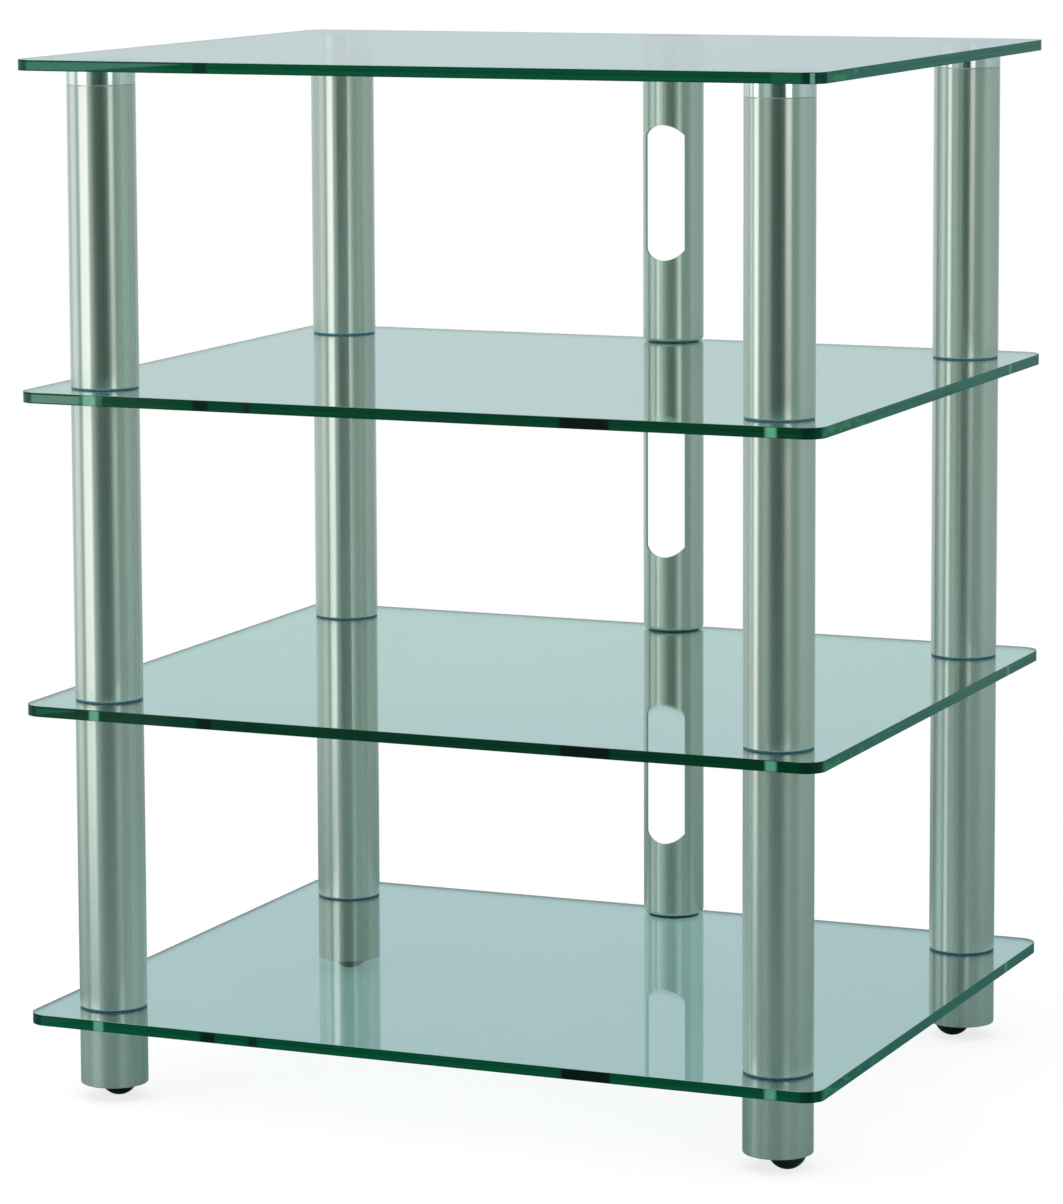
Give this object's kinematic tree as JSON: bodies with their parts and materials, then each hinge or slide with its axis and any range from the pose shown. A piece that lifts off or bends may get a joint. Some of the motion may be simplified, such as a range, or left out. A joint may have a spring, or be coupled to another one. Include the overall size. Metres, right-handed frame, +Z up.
{
  "type": "audio equipment rack",
  "caption": "Open audio rack: clear green-edged glass shelves on brushed steel posts, a slotted cable column at the back edge and screw levelling feet.",
  "frame": {"origin": "on the floor, under the middle of the box of the whole rack", "axes": "+Z up, +X to the right seen from the front, +Y towards the back, where the cable column stands"},
  "size_m": [0.616, 0.5268, 0.7691],
  "materials": {
    "green_glass": "clear float glass with a green tint and polished edges",
    "brushed_steel": "stainless steel tube with a fine satin brushing",
    "polished_aluminium": "polished, with a fine turned grain",
    "zinc_steel": "zinc-plated thread",
    "clear_vinyl": "clear soft vinyl that looks dark blue-green between steel and glass",
    "dark_vinyl": "dark soft vinyl",
    "black_rubber": "moulded black, slightly glossy",
    "grey_nylon": "moulded dark nylon"
  },
  "bodies": {
    "rack": {"glass_shelf_top": "green_glass", "glass_shelf_upper": "green_glass", "glass_shelf_lower": "green_glass", "glass_shelf_bottom": "green_glass", "top_cap_front_left": "polished_aluminium", "shelf_grommet_front_left_upper": "clear_vinyl", "post_tube_front_left_upper": "brushed_steel", "shelf_grommet_front_left_lower": "clear_vinyl", "post_tube_front_left_lower": "brushed_steel", "shelf_grommet_front_left_bottom": "clear_vinyl", "post_tube_front_left_bottom": "brushed_steel", "foot_tube_front_left": "brushed_steel", "tie_rod_front_left": "zinc_steel", "foot_plug_front_left": "grey_nylon", "top_cap_front_right": "polished_aluminium", "shelf_grommet_front_right_upper": "clear_vinyl", "post_tube_front_right_upper": "brushed_steel", "shelf_grommet_front_right_lower": "clear_vinyl", "post_tube_front_right_lower": "brushed_steel", "shelf_grommet_front_right_bottom": "clear_vinyl", "post_tube_front_right_bottom": "brushed_steel", "foot_tube_front_right": "brushed_steel", "tie_rod_front_right": "zinc_steel", "foot_plug_front_right": "grey_nylon", "top_cap_back_left": "polished_aluminium", "shelf_grommet_back_left_upper": "clear_vinyl", "post_tube_back_left_upper": "brushed_steel", "shelf_grommet_back_left_lower": "clear_vinyl", "post_tube_back_left_lower": "brushed_steel", "shelf_grommet_back_left_bottom": "clear_vinyl", "post_tube_back_left_bottom": "brushed_steel", "foot_tube_back_left": "brushed_steel", "tie_rod_back_left": "zinc_steel", "foot_plug_back_left": "grey_nylon", "top_cap_back_right": "polished_aluminium", "shelf_grommet_back_right_upper": "clear_vinyl", "post_tube_back_right_upper": "brushed_steel", "shelf_grommet_back_right_lower": "clear_vinyl", "post_tube_back_right_lower": "brushed_steel", "shelf_grommet_back_right_bottom": "clear_vinyl", "post_tube_back_right_bottom": "brushed_steel", "foot_tube_back_right": "brushed_steel", "tie_rod_back_right": "zinc_steel", "foot_plug_back_right": "grey_nylon", "cable_tube_upper": "brushed_steel", "cable_tube_middle": "brushed_steel", "cable_tube_lower": "brushed_steel", "cable_joint_upper": "dark_vinyl", "cable_joint_lower": "dark_vinyl", "cable_base_bush": "dark_vinyl", "cable_base_screw": "zinc_steel", "cable_top_pad": "dark_vinyl"},
    "stem_front_left": {"foot_stem_front_left": "zinc_steel"},
    "pad_front_left": {"foot_pad_front_left": "black_rubber"},
    "stem_front_right": {"foot_stem_front_right": "zinc_steel"},
    "pad_front_right": {"foot_pad_front_right": "black_rubber"},
    "stem_back_left": {"foot_stem_back_left": "zinc_steel"},
    "pad_back_left": {"foot_pad_back_left": "black_rubber"},
    "stem_back_right": {"foot_stem_back_right": "zinc_steel"},
    "pad_back_right": {"foot_pad_back_right": "black_rubber"}
  },
  "joints": [
    {"name": "foot_travel_front_left", "type": "slide", "parent": "rack", "child": "stem_front_left", "axis": [0, 0, -1], "range_m": [0, 0.0075]},
    {"name": "foot_turn_front_left", "type": "hinge", "parent": "stem_front_left", "child": "pad_front_left", "pos_m": [-0.261, -0.2064, 0], "axis": [0, 0, -1], "range_deg": [0, 2160]},
    {"name": "foot_travel_front_right", "type": "slide", "parent": "rack", "child": "stem_front_right", "axis": [0, 0, -1], "range_m": [0, 0.0075]},
    {"name": "foot_turn_front_right", "type": "hinge", "parent": "stem_front_right", "child": "pad_front_right", "pos_m": [0.268, -0.2134, 0], "axis": [0, 0, -1], "range_deg": [0, 2160]},
    {"name": "foot_travel_back_left", "type": "slide", "parent": "rack", "child": "stem_back_left", "axis": [0, 0, -1], "range_m": [0, 0.0075]},
    {"name": "foot_turn_back_left", "type": "hinge", "parent": "stem_back_left", "child": "pad_back_left", "pos_m": [-0.26339, 0.20918, 0], "axis": [0, 0, -1], "range_deg": [0, 2160]},
    {"name": "foot_travel_back_right", "type": "slide", "parent": "rack", "child": "stem_back_right", "axis": [0, 0, -1], "range_m": [0, 0.0075]},
    {"name": "foot_turn_back_right", "type": "hinge", "parent": "stem_back_right", "child": "pad_back_right", "pos_m": [0.254, 0.2026, 0], "axis": [0, 0, -1], "range_deg": [0, 2160]}
  ],
  "couplings": [
    {"joint": "foot_travel_front_left", "follows": "foot_turn_front_left", "m_per_rad": 0.00019894},
    {"joint": "foot_travel_front_right", "follows": "foot_turn_front_right", "m_per_rad": 0.00019894},
    {"joint": "foot_travel_back_left", "follows": "foot_turn_back_left", "m_per_rad": 0.00019894},
    {"joint": "foot_travel_back_right", "follows": "foot_turn_back_right", "m_per_rad": 0.00019894}
  ]
}
